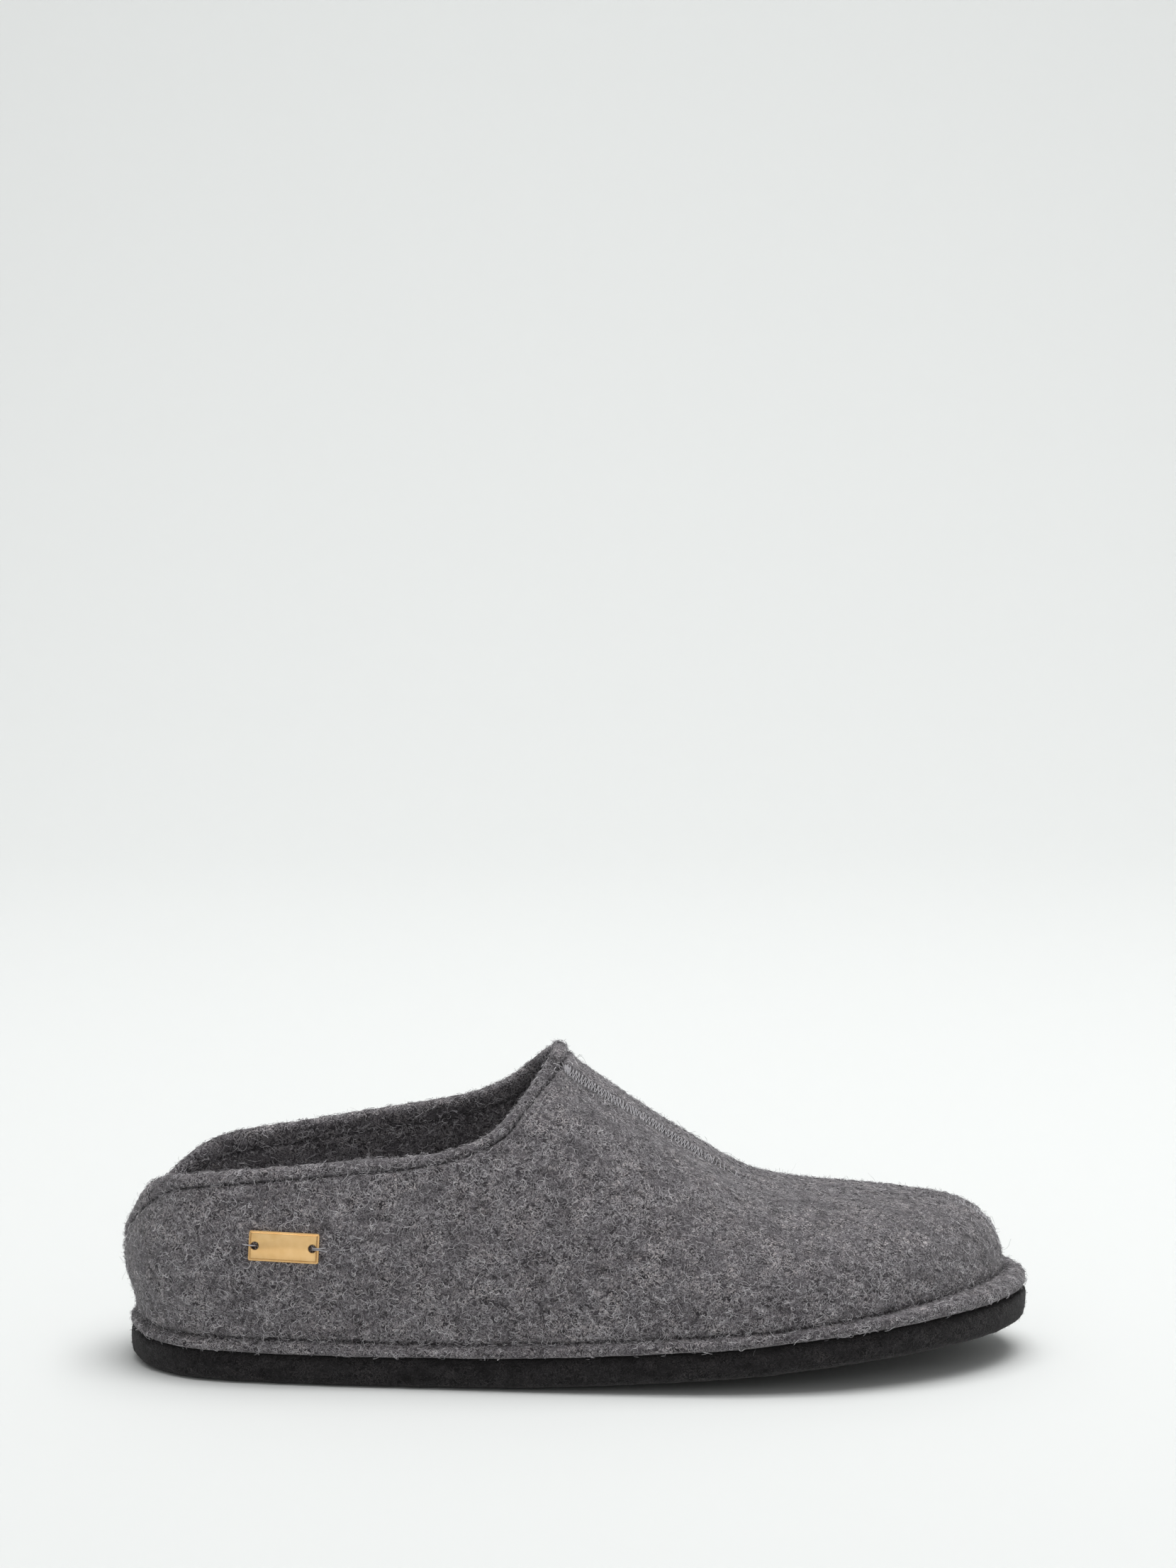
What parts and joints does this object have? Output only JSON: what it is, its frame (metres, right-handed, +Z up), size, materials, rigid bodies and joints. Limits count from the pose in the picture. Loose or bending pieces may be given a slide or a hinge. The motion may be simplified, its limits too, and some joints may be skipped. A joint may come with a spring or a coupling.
{
  "type": "house slipper",
  "caption": "Low slip-on house slipper of thick grey wool felt with a closed toe, a low cup heel, a stitched-down flange, a black felt sole and a small brass plate.",
  "frame": {"origin": "On the floor, on the flat underside of the outsole, half way between heel end and toe tip of the sole.", "axes": "+X points to the toe, -Y to the outer side of the foot, +Z up. The flat underside lies in the plane Z = 0."},
  "size_m": [0.2717, 0.0974, 0.0952],
  "materials": {
    "grey_wool_felt": "thick heather-grey wool felt with loose pale fibres",
    "black_wool_felt": "dense black wool felt with a soft cut edge",
    "footbed_felt": "smooth grey wool felt",
    "aged_brass": "brushed brass colour with darker edges, bare face"
  },
  "bodies": {
    "root": {"upper": "grey_wool_felt", "outsole": "black_wool_felt", "footbed": "footbed_felt", "name_plate": "aged_brass"}
  },
  "joints": []
}
